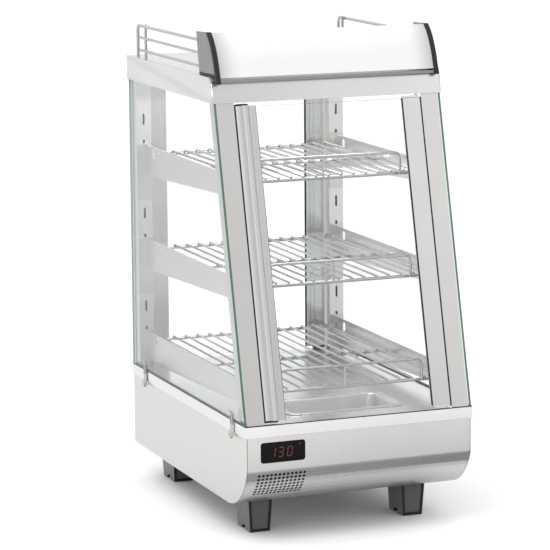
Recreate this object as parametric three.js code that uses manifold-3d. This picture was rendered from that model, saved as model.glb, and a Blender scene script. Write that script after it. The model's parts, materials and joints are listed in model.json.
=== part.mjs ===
// Countertop hot food display case: a heated stainless base on four feet, a slanted glass showcase with
// three wire shelves on hook-in brackets, a hinged front door, a hinged rear door, and a cap with a canopy.
// Millimetres, +Z up. x runs side to side, y from the deck's front edge to the back, z up from the floor.
import * as THREE from "three";
import { mergeGeometries, mergeVertices } from "three/addons/utils/BufferGeometryUtils.js";
import Module from "manifold-3d";

const wasm = await Module();
wasm.setup();

// ---- Driving dimensions -------------------------------------------------------------------------------
const WIDTH = 350; // deck, side to side
const DEPTH = 492; // deck, front to back
const FOOT_H = 52; // floor to the underside of the base
const BASE_H = 125; // underside of the base to the deck's top
const GLASS_H = 443; // deck's top to the lower edge of the cap's skirt
const CAP_H = 36; // height of the cap's skirt
const CANOPY_H = 62; // canopy above the cap's top
const LEAN = 0.2514; // run of the slanted front for each unit of rise
const FRONT_SET = 4.4; // slanted front behind the deck's front edge, at the deck
const CAP_OVER = 2.1; // cap beyond the deck on each side

const SHEET = 1.2; // folded sheet of the base, deck and cap
const PLATE = 1.5; // brackets, pillars, posts and pan
const GLASS_T = 4; // all glass
const GAP = 0.3; // rest gap between touching pieces
const PIN_GAP = 0.5; // running gap round each pin, faceted

const CURVE_TOP = 61; // start of the front panel's curve, above the underside
const CURVE_DOWN = 16; // how far the curve keeps upright at its start
const CURVE_BACK = 46; // how far it runs level at its end
const CURVE_RUN = 78; // end of the curve behind the deck's front edge
const LIP_H = 16.5; // deck's turned-down skirt
const TUCK = 1.6; // base panels inside the deck's outer faces

const POST_W = 24; // rear posts, square hollow section
const PILLAR_W = 26.3; // front pillars' flange beside the door
const PILLAR_FLANGE = 28; // their flange along the side glass
const SLOT_W = 3;
const SLOT_LONG = 16.5;
const SLOT_SHORT = 9;
const SLOT_PITCH = 72.5; // long slot to long slot
const SLOT_FIRST = 19.9; // middle of the lowest long slot above the deck

const SHELF_PITCH = 2 * SLOT_PITCH; // shelf to shelf
const SHELF_LOW = 38.5; // lowest shelf's rods above the deck
const SHELF_BEHIND = [24.5, 27, 28]; // front rod behind the slanted front, lowest shelf first
const SHELF_BACK = [5.5, 15.5, 12.5]; // back rod in front of the rear posts, lowest shelf first
const WIRES = 15;
const WIRE_R = 1.75;
const ROD_R = 2.5;
const ROD_IN = 4.25; // cross rod's end inside the brackets' blades
const WIRE_IN = 15.2; // outermost wire inside a cross rod's end
const GUARD_IN = 41; // end of the front guard inside a cross rod's end
const GUARD_H = 31; // guard above the front rod
const GUARD_R = 2;
const WELD = 0.4; // overlap of two welded rods

const ARM_IN = 15.65; // inner face of a bracket's blade inside the posts' outer faces
const ARM_UP = 15; // blade above the rods
const ARM_DOWN = 33; // blade below the rods, at the back
const ARM_NOSE = 17; // blade below the rods, at the front
const HOOK_UP = 17; // hook plate above the rods
const HOOK_DOWN = 71; // hook plate below the rods
const LEDGE_W = 14;

const DOOR_T = 8; // door frame, front to back
const DOOR_HANDLE_W = 30; // handle profile, with its glass channel
const DOOR_STILE_W = 27;
const HANDLE_PROUD = 4.2; // grip in front of the door's face
const CHANNEL = 11; // glass held in each door profile
const PIVOT_IN = 4; // hinge pin from the door's edge
const PIN_R = 2;
const DOOR_GAP = 2.1; // door's edge to the frame beside it
const DOOR_SPACE = 1; // door above the deck and below the skirt
const END_T = 3; // end caps and hinge fittings

const PAN_W = 182;
const PAN_D = 106;
const PAN_H = 42;
const PAN_Y = 99; // middle of the pan behind the deck's front edge
const PAN_RIM = 11; // rim outside the basin

const FOOT_TOP = [37.4, 55];
const FOOT_END = [31, 50];
const FOOT_IN = 54.7; // middle of a foot inside the deck's side
const FOOT_FRONT = 86; // front foot's face behind the deck's front edge
const FOOT_BACK = 26; // rear foot's face in front of the deck's back edge
const FOOT_WALL = 3;
const FOOT_PAD = 12; // solid foot pad, with the arched notch through it

const WINDOW = [67, 29]; // display window, wide and high
const WINDOW_AT = [56.6, 86]; // its middle: inside the deck's left side, above the underside
const VENT_COLS = 12;
const VENT_ROWS = 7;
const VENT_PITCH = 6.25;
const VENT_ROW_PITCH = 6.45;
const VENT_FIRST = 8.5; // first row below the curve's start, along it
const VENT_R = 2.25;
const VENT_IN = 55.5; // middle of the vent inside the deck's left side

const RAIL_IN = 12.1; // rail inside the cap's side
const RAIL_R = 2.5;
const RAIL_H = 47; // top bar above the cap
const RAIL_BARS = [29, 10]; // lower bars above the cap
const RAIL_BACK = 22; // rear post of the rail in front of the back edge
const RAIL_FRONT = 58; // front post of the rail behind the cap's front top edge

const CLIP_W = 12;
const CLIP_AT = [51, 427]; // clips behind the deck's front edge
const CLIP_UP = 14; // leaf above the deck
const CLIP_DOWN = 21; // pin below the deck
const CLIP_T = 1.2;
const CLIP_R = 2.2;

// ---- Derived levels -----------------------------------------------------------------------------------
const Z_BASE = FOOT_H;
const Z_DECK = Z_BASE + BASE_H;
const Z_SKIRT = Z_DECK + GLASS_H;
const Z_CAP = Z_SKIRT + CAP_H;
const Z_CEILING = Z_SKIRT + 2; // underside of the ceiling panel
const HALF = WIDTH / 2;
const TILT = Math.atan(LEAN);
const CAP_HALF = HALF + CAP_OVER;
const GLASS_OUT = CAP_HALF - SHEET - 0.7; // outer face of the side glass
const GLASS_IN = GLASS_OUT - GLASS_T;
const FRAME_OUT = GLASS_IN - GAP; // outer face of posts and pillars
const CAP_FRONT = -2.2; // cap's front face, before the slanted plane
const CAP_BACK = DEPTH + 1;
const POST_BACK = CAP_BACK - SHEET - GAP;
const POST_FRONT = POST_BACK - POST_W;
const PILLAR_IN = FRAME_OUT - PILLAR_W; // inner edge of a front pillar
const POST_IN = FRAME_OUT - POST_W; // inner face of a rear post
const SLOT_X = FRAME_OUT - POST_W / 2; // slot column
const ARM_X = FRAME_OUT - ARM_IN;
const ROD_HALF = ARM_X - ROD_IN;
const GUARD_HALF = ROD_HALF - GUARD_IN;
const WIRE_PITCH = (2 * (ROD_HALF - WIRE_IN)) / (WIRES - 1);
const RAIL_X = CAP_HALF - RAIL_IN;
const FOOT_X = HALF - FOOT_IN;
const FRONT_EDGE = PILLAR_IN - DOOR_GAP; // edge of the front door
const REAR_EDGE = POST_IN - DOOR_GAP - GAP; // edge of the rear door
const REAR_FACE = POST_BACK - DOOR_GAP; // outer face of the rear door
const Y_BACK_MOST = REAR_FACE + HANDLE_PROUD;
const Y_MIDDLE = Y_BACK_MOST / 2; // the case's own origin is in the middle of its footprint

// y of the slanted front plane at height z
const frontY = (z) => FRONT_SET + LEAN * (z - Z_DECK);

// ---- Geometry helpers ---------------------------------------------------------------------------------
// Closed solid of a geometry: only positions, with shared vertices merged
function solidOf(geometry) {
  const bare = geometry.index ? geometry.toNonIndexed() : geometry.clone();
  for (const name of Object.keys(bare.attributes)) {
    if (name !== "position") bare.deleteAttribute(name);
  }
  const merged = mergeVertices(bare, 1e-3);
  const vertProperties = new Float32Array(merged.attributes.position.array);
  const triVerts = new Uint32Array(merged.index.array);
  return new wasm.Manifold(new wasm.Mesh({ numProp: 3, vertProperties, triVerts }));
}

function geometryOf(solid) {
  const mesh = solid.getMesh();
  const geometry = new THREE.BufferGeometry();
  geometry.setAttribute("position", new THREE.BufferAttribute(mesh.vertProperties, 3));
  geometry.setIndex(new THREE.BufferAttribute(mesh.triVerts, 1));
  const flat = geometry.toNonIndexed();
  flat.computeVertexNormals();
  return flat;
}

function join(first, ...others) {
  return geometryOf(others.reduce((sum, next) => sum.add(solidOf(next)), solidOf(first)));
}

function cut(first, ...others) {
  return geometryOf(others.reduce((rest, next) => rest.subtract(solidOf(next)), solidOf(first)));
}

function keep(first, other) {
  return geometryOf(solidOf(first).intersect(solidOf(other)));
}

// Many separate cutters as one geometry
const group = (list) => mergeGeometries(list.map((g) => {
  const flat = g.index ? g.toNonIndexed() : g;
  const bare = new THREE.BufferGeometry();
  bare.setAttribute("position", flat.getAttribute("position"));
  return bare;
}));

// Box between two corners
function box(x0, x1, y0, y1, z0, z1) {
  const size = [Math.abs(x1 - x0), y1 - y0, z1 - z0];
  return new THREE.BoxGeometry(...size).translate((x0 + x1) / 2, (y0 + y1) / 2, (z0 + z1) / 2);
}

const shapeOf = (points) => new THREE.Shape(points.map(([u, v]) => new THREE.Vector2(u, v)));

function extrude(points, depth) {
  return new THREE.ExtrudeGeometry(shapeOf(points), { depth, bevelEnabled: false, curveSegments: 4 });
}

// Outline in (y, z), run along x
function alongX(points, x0, x1) {
  const turn = new THREE.Matrix4().makeBasis(
    new THREE.Vector3(0, 1, 0),
    new THREE.Vector3(0, 0, 1),
    new THREE.Vector3(1, 0, 0),
  );
  return extrude(points, Math.abs(x1 - x0)).applyMatrix4(turn).translate(Math.min(x0, x1), 0, 0);
}

// Outline in (x, z), run along y
function alongY(points, y0, y1) {
  return extrude(points, y1 - y0).rotateX(Math.PI / 2).translate(0, y1, 0);
}

// Outline in (x, y), run along z
function alongZ(points, z0, z1) {
  return extrude(points, z1 - z0).translate(0, 0, z0);
}

// Rectangle with rounded corners, three segments to a corner
function rounded(cx, cy, w, h, r) {
  const steps = 3;
  const corners = [[1, 1], [-1, 1], [-1, -1], [1, -1]];
  const points = [];
  corners.forEach(([sx, sy], i) => {
    for (let k = 0; k <= steps; k += 1) {
      const a = (Math.PI / 2) * (i + k / steps);
      points.push([
        cx + sx * (w / 2 - r) + r * Math.cos(a),
        cy + sy * (h / 2 - r) + r * Math.sin(a),
      ]);
    }
  });
  return points;
}

// Straight round bar between two points
function bar(from, to, radius, sides = 6) {
  const a = new THREE.Vector3(...from);
  const b = new THREE.Vector3(...to);
  const way = b.clone().sub(a);
  const turn = new THREE.Quaternion().setFromUnitVectors(
    new THREE.Vector3(0, 1, 0),
    way.clone().normalize(),
  );
  const middle = a.add(b).multiplyScalar(0.5);
  return new THREE.CylinderGeometry(radius, radius, way.length(), sides)
    .applyQuaternion(turn)
    .translate(middle.x, middle.y, middle.z);
}

// Round bar bent along a line of points, each inner corner with the same bend radius
function bentBar(points, radius, bend, sides = 6, steps = 40) {
  const path = new THREE.CurvePath();
  const p = points.map((q) => new THREE.Vector3(...q));
  let start = p[0];
  for (let i = 1; i < p.length - 1; i += 1) {
    const before = p[i].clone().add(p[i - 1].clone().sub(p[i]).setLength(bend));
    const after = p[i].clone().add(p[i + 1].clone().sub(p[i]).setLength(bend));
    path.add(new THREE.LineCurve3(start, before));
    path.add(new THREE.QuadraticBezierCurve3(before, p[i], after));
    start = after;
  }
  path.add(new THREE.LineCurve3(start, p[p.length - 1]));
  const ring = [];
  for (let i = 0; i < sides; i += 1) {
    const a = (2 * Math.PI * i) / sides;
    ring.push([radius * Math.cos(a), radius * Math.sin(a)]);
  }
  return new THREE.ExtrudeGeometry(shapeOf(ring), { extrudePath: path, steps, bevelEnabled: false });
}

// From the slanted front's own axes (x, depth behind the glass line, length up the slope) to the case
function onFront(geometry) {
  return geometry.rotateX(-TILT).translate(0, FRONT_SET, Z_DECK);
}

// From a door's own axes to the rear opening: turned to face backwards
function onRear(geometry) {
  return geometry.rotateZ(Math.PI).translate(0, REAR_FACE, Z_DECK);
}

function mirrored(geometry) {
  return geometryOf(solidOf(geometry).mirror([1, 0, 0]));
}

// ---- Materials ----------------------------------------------------------------------------------------
const steel = { color: 0xd2d0ce, roughness: 0.32, metalness: 1 };
const bright = { color: 0xdedddb, roughness: 0.18, metalness: 1 };
const alloy = { color: 0xc9c9c8, roughness: 0.35, metalness: 1 };
const clear = { color: 0xdfeee8, roughness: 0.03, metalness: 0 };
const black = { color: 0x2b2a2b, roughness: 0.45, metalness: 0 };
const gloss = { color: 0x1c1b1b, roughness: 0.12, metalness: 0 };
const panel = { color: 0xf2f2f1, roughness: 0.25, metalness: 0 };
const dull = { color: 0x8c8884, roughness: 0.4, metalness: 1 };
const heat = { color: 0x4a4846, roughness: 0.5, metalness: 1 };

const parts = [];
function add(name, geometry, look) {
  const placed = geometry.translate(0, -Y_MIDDLE, 0);
  const mesh = new THREE.Mesh(placed, new THREE.MeshStandardMaterial(look));
  mesh.name = name;
  parts.push(mesh);
}

// ---- Base ---------------------------------------------------------------------------------------------
const BASE_TOP = Z_DECK - PLATE - GAP; // top edge of the base panels
const BASE_FRONT = TUCK;
const BASE_BACK = DEPTH - TUCK;
const SIDE_OUT = HALF - TUCK;
const SIDE_IN = SIDE_OUT - SHEET;

// The front panel's curve from its vertical face to the underside, as (y, z)
const frontCurve = new THREE.CubicBezierCurve(
  new THREE.Vector2(BASE_FRONT, Z_BASE + CURVE_TOP),
  new THREE.Vector2(BASE_FRONT, Z_BASE + CURVE_TOP - CURVE_DOWN),
  new THREE.Vector2(CURVE_RUN - CURVE_BACK, Z_BASE),
  new THREE.Vector2(CURVE_RUN, Z_BASE),
);

// The same curve as points, moved in by an offset
function curvePoints(offset, steps = 12) {
  const points = [];
  for (let i = 0; i <= steps; i += 1) {
    const t = i / steps;
    const at = frontCurve.getPoint(t);
    const along = frontCurve.getTangent(t);
    points.push([at.x - along.y * offset, at.y + along.x * offset]);
  }
  return points;
}

function basePanels() {
  const side = [
    [BASE_FRONT, BASE_TOP],
    ...curvePoints(0),
    [BASE_BACK, Z_BASE],
    [BASE_BACK, BASE_TOP],
  ];
  add("base_side_right", alongX(side, SIDE_IN, SIDE_OUT), steel);
  add("base_side_left", alongX(side, -SIDE_OUT, -SIDE_IN), steel);
  const inner = SIDE_IN - GAP;
  add("base_bottom", box(-inner, inner, CURVE_RUN + GAP * 3, BASE_BACK - SHEET - GAP, Z_BASE, Z_BASE + SHEET), steel);
  return inner;
}

// Vent holes: rows stepped along the curve, each row square to the sheet
function ventCutters() {
  const length = frontCurve.getLength();
  const cutters = [];
  for (let row = 0; row < VENT_ROWS; row += 1) {
    const t = frontCurve.getUtoTmapping((VENT_FIRST + row * VENT_ROW_PITCH) / length);
    const at = frontCurve.getPoint(t);
    const along = frontCurve.getTangent(t);
    for (let col = 0; col < VENT_COLS; col += 1) {
      const x = VENT_IN - HALF + (col - (VENT_COLS - 1) / 2) * VENT_PITCH;
      const inward = [-along.y * 4, along.x * 4];
      cutters.push(bar(
        [x, at.x - inward[0], at.y - inward[1]],
        [x, at.x + inward[0], at.y + inward[1]],
        VENT_R, 8,
      ));
    }
  }
  return group(cutters);
}

function frontPanel(half) {
  const outline = [
    [BASE_FRONT, BASE_TOP],
    ...curvePoints(0),
    ...curvePoints(SHEET).reverse(),
    [BASE_FRONT + SHEET, BASE_TOP],
  ];
  const [w, h] = WINDOW;
  const wx = WINDOW_AT[0] - HALF;
  const wz = WINDOW_AT[1];
  const hole = alongY(rounded(wx, Z_BASE + wz, w + 2 * GAP, h + 2 * GAP, 4), -5, 10);
  add("base_front", cut(alongX(outline, -half, half), hole, ventCutters()), steel);
  add("display_window", alongY(rounded(wx, Z_BASE + wz, w, h, 4), BASE_FRONT - 0.8, BASE_FRONT + SHEET), gloss);
  const z0 = Z_BASE + wz - h / 2;
  add("controller_box", box(wx - w / 2, wx + w / 2 - 3, BASE_FRONT + SHEET + GAP, 58, z0, z0 + h), black);
}

// Rear panel with the openings of the power inlet and the switch
const INLET = { x: 63 - HALF, w: 26.4, h: 19.4, flange: [34, 27], deep: 20 };
const SWITCH = { x: 113 - HALF, w: 17.4, h: 26.4, flange: [21, 30], deep: 15 };
const REAR_MID = Z_BASE + 63;
const INLET_WALL = 3.2;
const SWITCH_WALL = 1;

function rearOpening(part) {
  const w = part.w / 2 + GAP;
  const h = part.h / 2 + GAP;
  return box(part.x - w, part.x + w, BASE_BACK - 10, BASE_BACK + 10, REAR_MID - h, REAR_MID + h);
}

function rearBody(part, wall, floor) {
  const z = REAR_MID;
  const face = BASE_BACK + GAP;
  const [fw, fh] = part.flange;
  const flange = box(part.x - fw / 2, part.x + fw / 2, face, face + 2, z - fh / 2, z + fh / 2);
  const body = box(
    part.x - part.w / 2, part.x + part.w / 2,
    face - part.deep, face + 0.5,
    z - part.h / 2, z + part.h / 2,
  );
  const hollow = box(
    part.x - part.w / 2 + wall, part.x + part.w / 2 - wall,
    face - part.deep + floor, face + 10,
    z - part.h / 2 + wall, z + part.h / 2 - wall,
  );
  return cut(join(flange, body), hollow);
}

// Two-position rocker, drawn in its off position: lower half out
const ROCKER_TILT = THREE.MathUtils.degToRad(7);
const ROCKER_PIVOT = [BASE_BACK - 6.9, REAR_MID];
function rocker() {
  const half = 10.6;
  const outline = [
    [8.4, -half],
    [7, 0],
    [8.4, half],
    [3, half],
    [-2.5, 0],
    [3, -half],
  ];
  const w = SWITCH.w / 2 - SWITCH_WALL - 0.4;
  const shape = alongX(outline.reverse(), -w, w);
  return shape.rotateX(ROCKER_TILT).translate(SWITCH.x, ...ROCKER_PIVOT);
}

function rearPanel(half) {
  const plate = box(-half, half, BASE_BACK - SHEET, BASE_BACK, Z_BASE, BASE_TOP);
  add("base_rear", cut(plate, rearOpening(INLET), rearOpening(SWITCH)), steel);
  add("power_inlet", rearBody(INLET, INLET_WALL, 6), black);
  add("power_switch_body", rearBody(SWITCH, SWITCH_WALL, 4), black);
  add("power_switch_rocker", rocker(), gloss);
}

// Deck: a tray turned down all round, open over the water pan, with the lower hinge-pin holes
function deckTray(pinHoles) {
  const skirt = Z_DECK - LIP_H;
  const outer = box(-HALF, HALF, 0, DEPTH, skirt, Z_DECK);
  const inner = box(-HALF + SHEET, HALF - SHEET, SHEET, DEPTH - SHEET, skirt - 5, Z_DECK - PLATE);
  const w = PAN_W - 2 * PAN_RIM + 3;
  const d = PAN_D - 2 * PAN_RIM + 3;
  const well = alongZ(rounded(0, PAN_Y, w, d, 12), skirt, Z_DECK + 5);
  add("deck_tray", cut(outer, inner, well, ...pinHoles), steel);
}

// Foot: tapered cup, open at the top, with an arched notch across its pad
function foot(name, x, y) {
  const taper = (top, end, z0, z1) => {
    const g = box(-0.5, 0.5, -0.5, 0.5, 0, 1);
    const p = g.attributes.position;
    for (let i = 0; i < p.count; i += 1) {
      const [w, d] = p.getZ(i) > 0.5 ? top : end;
      p.setXYZ(i, p.getX(i) * w, p.getY(i) * d, p.getZ(i) > 0.5 ? z1 : z0);
    }
    return g;
  };
  const slim = ([w, d]) => [w - 2 * FOOT_WALL, d - 2 * FOOT_WALL];
  const cup = taper(FOOT_TOP, FOOT_END, 0, FOOT_H - GAP);
  const hollow = taper(slim(FOOT_TOP), slim(FOOT_END), FOOT_PAD, FOOT_H + 1);
  const notch = alongX([[-8, -1], [8, -1], [5, 6.5], [-5, 6.5]], -30, 30);
  add(name, cut(cup, hollow, notch).translate(x, y, 0), black);
}

function feet() {
  const front = FOOT_FRONT + FOOT_TOP[1] / 2;
  const back = DEPTH - FOOT_BACK - FOOT_TOP[1] / 2;
  foot("foot_front_left", -FOOT_X, front);
  foot("foot_front_right", FOOT_X, front);
  foot("foot_rear_left", -FOOT_X, back);
  foot("foot_rear_right", FOOT_X, back);
}

// Tubular element under the deck, behind the pan
function heater() {
  const z = Z_DECK - 26;
  const back = DEPTH - 60;
  const half = HALF - 65;
  const front = PAN_Y + PAN_D;
  const loop = [[-half, back, z], [-half, front, z], [half, front, z], [half, back, z]];
  add("heating_element", bentBar(loop, 4, 24, 8, 36), heat);
}

// ---- Frame: posts, pillars and side glass --------------------------------------------------------------
function slotCutters() {
  const cutters = [];
  const top = Z_SKIRT - 20;
  for (let z = Z_DECK + SLOT_FIRST; z < top; z += SLOT_PITCH) {
    for (const [shift, height] of [[0, SLOT_LONG], [SLOT_PITCH / 2, SLOT_SHORT]]) {
      const middle = z + shift;
      if (middle + height / 2 > top || middle - height / 2 < Z_DECK + 6) continue;
      cutters.push(box(
        SLOT_X - SLOT_W / 2, SLOT_X + SLOT_W / 2,
        POST_FRONT - 2, POST_FRONT + PLATE + 2,
        middle - height / 2, middle + height / 2,
      ));
    }
  }
  return group(cutters);
}

function posts() {
  const z0 = Z_DECK + GAP;
  const z1 = Z_CEILING - GAP;
  const outer = box(POST_IN, FRAME_OUT, POST_FRONT, POST_BACK, z0, z1);
  const inner = box(POST_IN + PLATE, FRAME_OUT - PLATE, POST_FRONT + PLATE, POST_BACK - PLATE, z0 - 5, z1 + 5);
  const post = cut(outer, inner, slotCutters());
  add("rear_post_left", mirrored(post), steel);
  add("rear_post_right", post, steel);
}

function pillars() {
  const outline = [
    [PILLAR_IN, 0],
    [FRAME_OUT, 0],
    [FRAME_OUT, PILLAR_FLANGE],
    [FRAME_OUT - PLATE, PILLAR_FLANGE],
    [FRAME_OUT - PLATE, PLATE],
    [PILLAR_IN, PLATE],
  ];
  const long = onFront(alongZ(outline, -60, GLASS_H * 1.3));
  const between = box(0, 400, -100, 600, Z_DECK + GAP, Z_CEILING - GAP);
  const pillar = keep(long, between);
  add("front_pillar_left", mirrored(pillar), steel);
  add("front_pillar_right", pillar, steel);
}

function sideGlass() {
  const z0 = Z_DECK + 0.5;
  const z1 = Z_SKIRT + 12;
  const outline = [
    [frontY(z0), z0],
    [DEPTH - 4, z0],
    [DEPTH - 4, z1],
    [frontY(z1), z1],
  ];
  add("side_glass_left", alongX(outline, -GLASS_OUT, -GLASS_IN), clear);
  add("side_glass_right", alongX(outline, GLASS_IN, GLASS_OUT), clear);
}

// Clip: a leaf over the glass edge, turning on a pin below the deck
const CLIP_PIN = [HALF + 3.4, Z_DECK - CLIP_DOWN];
function clip(name, side, y) {
  const [px, pz] = CLIP_PIN;
  const x0 = GLASS_OUT + GAP;
  const top = Z_DECK + CLIP_UP;
  const leaf = alongY([
    [px - CLIP_R * 0.6, pz - 0.5],
    [px + CLIP_R * 0.8, pz],
    [x0 + CLIP_T, pz + 9],
    [x0 + CLIP_T, top - 3],
    [x0 + CLIP_T + 2.2, top],
    [x0 + 2.2, top + 0.6],
    [x0, top - 2.6],
    [x0, pz + 7],
  ], y - CLIP_W / 2, y + CLIP_W / 2);
  const knuckle = bar([px, y - CLIP_W / 2, pz], [px, y + CLIP_W / 2, pz], CLIP_R, 10);
  const whole = join(leaf, knuckle);
  add(name, side > 0 ? whole : mirrored(whole), bright);
}

// ---- Brackets and shelves ------------------------------------------------------------------------------
const shelfZ = (i) => Z_DECK + SHELF_LOW + i * SHELF_PITCH;
const shelfFront = (i) => frontY(shelfZ(i)) + SHELF_BEHIND[i];
const shelfBack = (i) => POST_FRONT - SHELF_BACK[i];

function bracket(i) {
  const z = shelfZ(i);
  const nose = shelfFront(i) - 6;
  const plateBack = POST_FRONT - GAP;
  const bladeOut = ARM_X + PLATE;
  const floor = Z_DECK + 2;
  const blade = alongX([
    [nose, z - ARM_NOSE],
    [plateBack, z - ARM_DOWN],
    [plateBack, z + ARM_UP],
    [nose, z + ARM_UP],
  ], ARM_X, bladeOut);
  const low = Math.max(z - HOOK_DOWN, floor);
  const plate = box(POST_IN + 1, FRAME_OUT - 1, plateBack - PLATE, plateBack, low, z + HOOK_UP);
  const ledgeTop = z - ROD_R - GAP;
  const ledge = box(ARM_X - LEDGE_W, ARM_X + 0.5, nose, plateBack - 30, ledgeTop - PLATE, ledgeTop);
  const hole = alongX(rounded(plateBack - 38, z + 4, 10, 14, 3), ARM_X - 5, bladeOut + 5);
  const hooks = [];
  const slotZ = Z_DECK + SLOT_FIRST + i * SHELF_PITCH;
  for (const middle of [slotZ, slotZ - SLOT_PITCH / 2]) {
    if (middle - SLOT_SHORT / 2 < floor) continue;
    hooks.push(box(
      SLOT_X - SLOT_W / 2 + 0.4, SLOT_X + SLOT_W / 2 - 0.4,
      plateBack - 0.5, POST_FRONT + PLATE + 3,
      middle - SLOT_SHORT / 2 + 0.6, middle + SLOT_SHORT / 2 - 0.6,
    ));
  }
  return cut(join(blade, plate, ledge, ...hooks), hole);
}

function shelf(i) {
  const z = shelfZ(i);
  const y0 = shelfFront(i);
  const y1 = shelfBack(i);
  const wireZ = z + ROD_R * 0.87 + WIRE_R - WELD;
  const rods = [];
  for (const y of [y0, (y0 + y1) / 2, y1]) {
    rods.push(bar([-ROD_HALF, y, z], [ROD_HALF, y, z], ROD_R));
  }
  for (let k = 0; k < WIRES; k += 1) {
    const x = (k - (WIRES - 1) / 2) * WIRE_PITCH;
    rods.push(bar([x, y0 - 1.5, wireZ], [x, y1 + 1.5, wireZ], WIRE_R));
  }
  const top = z + GUARD_H;
  const guardY = y0 - ROD_R - GUARD_R + 3 * WELD;
  rods.push(bentBar(
    [[-GUARD_HALF, guardY, z - 1], [-GUARD_HALF, guardY, top], [GUARD_HALF, guardY, top], [GUARD_HALF, guardY, z - 1]],
    GUARD_R, 9, 6, 48,
  ));
  rods.push(bar([-WIRE_PITCH / 2, guardY, z - 1], [-WIRE_PITCH / 2, guardY, top], GUARD_R * 0.8));
  return join(...rods);
}

// Lift-out pan: rim resting on the deck, basin through it
function waterPan() {
  const rimZ = Z_DECK + GAP;
  const w = PAN_W - 2 * PAN_RIM;
  const d = PAN_D - 2 * PAN_RIM;
  const rim = alongZ(rounded(0, PAN_Y, PAN_W, PAN_D, 14), rimZ, rimZ + PLATE);
  const basin = alongZ(rounded(0, PAN_Y, w, d, 11), rimZ + PLATE - PAN_H, rimZ + 0.5);
  const hollow = alongZ(rounded(0, PAN_Y, w - 2 * PLATE, d - 2 * PLATE, 9.5), rimZ + 2 * PLATE - PAN_H, rimZ + 9);
  add("water_pan", cut(join(rim, basin), hollow), bright);
}

// ---- Doors ---------------------------------------------------------------------------------------------
// A door in its own axes: x across, y behind its outer face, z up; handle at -x, hinge at +x
function door(prefix, place, edge, low, high) {
  const grip = -edge + DOOR_HANDLE_W - CHANNEL;
  const inner = -edge + DOOR_HANDLE_W;
  const slot0 = DOOR_T / 2 - GLASS_T / 2 - GAP;
  const slot1 = DOOR_T / 2 + GLASS_T / 2 + GAP;
  const q = (k) => -edge + (grip + edge) * k;
  const handle = [
    [-edge, DOOR_T],
    [-edge, -0.4],
    [q(0.09), -0.67 * HANDLE_PROUD],
    [q(0.27), -0.93 * HANDLE_PROUD],
    [q(0.5), -HANDLE_PROUD],
    [q(0.73), -0.81 * HANDLE_PROUD],
    [q(0.91), -0.38 * HANDLE_PROUD],
    [q(1), 0],
    [inner, 0],
    [inner, slot0],
    [inner - CHANNEL, slot0],
    [inner - CHANNEL, slot1],
    [inner, slot1],
    [inner, DOOR_T],
  ].reverse();
  const proud = handle.filter(([x, y]) => x < grip + 0.01 && y < 0.01);
  const cap = [[grip, DOOR_T], ...proud, [-edge, DOOR_T]];
  const stileIn = edge - DOOR_STILE_W;
  const stile = [
    [stileIn, 0],
    [edge, 0],
    [edge, DOOR_T],
    [stileIn, DOOR_T],
    [stileIn, slot1],
    [stileIn + CHANNEL, slot1],
    [stileIn + CHANNEL, slot0],
    [stileIn, slot0],
  ];
  const z0 = low + END_T + GAP;
  const z1 = high - END_T - GAP;
  const pivot = edge - PIVOT_IN;
  add(`${prefix}_handle`, place(alongZ(handle, z0, z1)), alloy);
  add(`${prefix}_cap_bottom`, place(alongZ(cap, low, low + END_T)), black);
  add(`${prefix}_cap_top`, place(alongZ(cap, high - END_T, high)), black);
  add(`${prefix}_stile`, place(alongZ(stile, z0, z1)), alloy);
  const glassIn = CHANNEL - 0.5;
  const g0 = DOOR_T / 2 - GLASS_T / 2;
  add(`${prefix}_glass`, place(box(inner - glassIn, stileIn + glassIn, g0, g0 + GLASS_T, z0, z1)), clear);
  const plate = (a, b) => box(stileIn + 1, edge, 0.3, DOOR_T - 0.3, a, b);
  const topPin = bar([pivot, DOOR_T / 2, high - 1], [pivot, DOOR_T / 2, high + 9], PIN_R, 12);
  const lowPin = bar([pivot, DOOR_T / 2, low + 1], [pivot, DOOR_T / 2, low - 8], PIN_R, 12);
  add(`${prefix}_hinge_top`, place(join(plate(high - END_T, high), topPin)), black);
  add(`${prefix}_hinge_bottom`, place(join(plate(low, low + END_T), lowPin)), black);
}

// Clearance holes round a door's pins, in the case's axes
function pinHole(place, edge, from, to) {
  const x = edge - PIVOT_IN;
  return place(bar([x, DOOR_T / 2, from], [x, DOOR_T / 2, to], PIN_R + PIN_GAP, 12));
}

// ---- Top: cap, ceiling, lamp, canopy and rails ----------------------------------------------------------
// Cap's side outline with its rounded front top corner
function capOutline(inset, bottom) {
  const top = Z_CAP - inset;
  const back = CAP_BACK - inset;
  const lineY = (z) => frontY(z) + (CAP_FRONT + inset) / Math.cos(TILT);
  const bend = 9 - inset;
  const corner = new THREE.Vector2(lineY(top), top);
  const before = new THREE.Vector2(lineY(top - bend), top - bend);
  const after = new THREE.Vector2(corner.x + bend, top);
  const curve = new THREE.QuadraticBezierCurve(before, corner, after);
  const round = curve.getPoints(5).map((p) => [p.x, p.y]);
  return [[back, bottom], [back, top], ...round.reverse(), [lineY(bottom), bottom]].reverse();
}

function cap() {
  const outer = alongX(capOutline(0, Z_SKIRT).reverse(), -CAP_HALF, CAP_HALF);
  const inner = alongX(capOutline(SHEET, Z_SKIRT - 5).reverse(), -CAP_HALF + SHEET, CAP_HALF - SHEET);
  add("top_cap", cut(outer, inner), steel);
}

function ceiling(pinHoles) {
  const half = FRAME_OUT - GAP;
  const thick = 2.5;
  const front = frontY(Z_CEILING + thick) + 1.2;
  const plate = box(-half, half, front, POST_BACK, Z_CEILING, Z_CEILING + thick);
  add("ceiling_panel", cut(plate, ...pinHoles), steel);
  add("lamp_lens", box(50 - HALF, HALF - 50, front + 42, front + 72, Z_CEILING - GAP - 7, Z_CEILING - GAP), panel);
}

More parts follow.
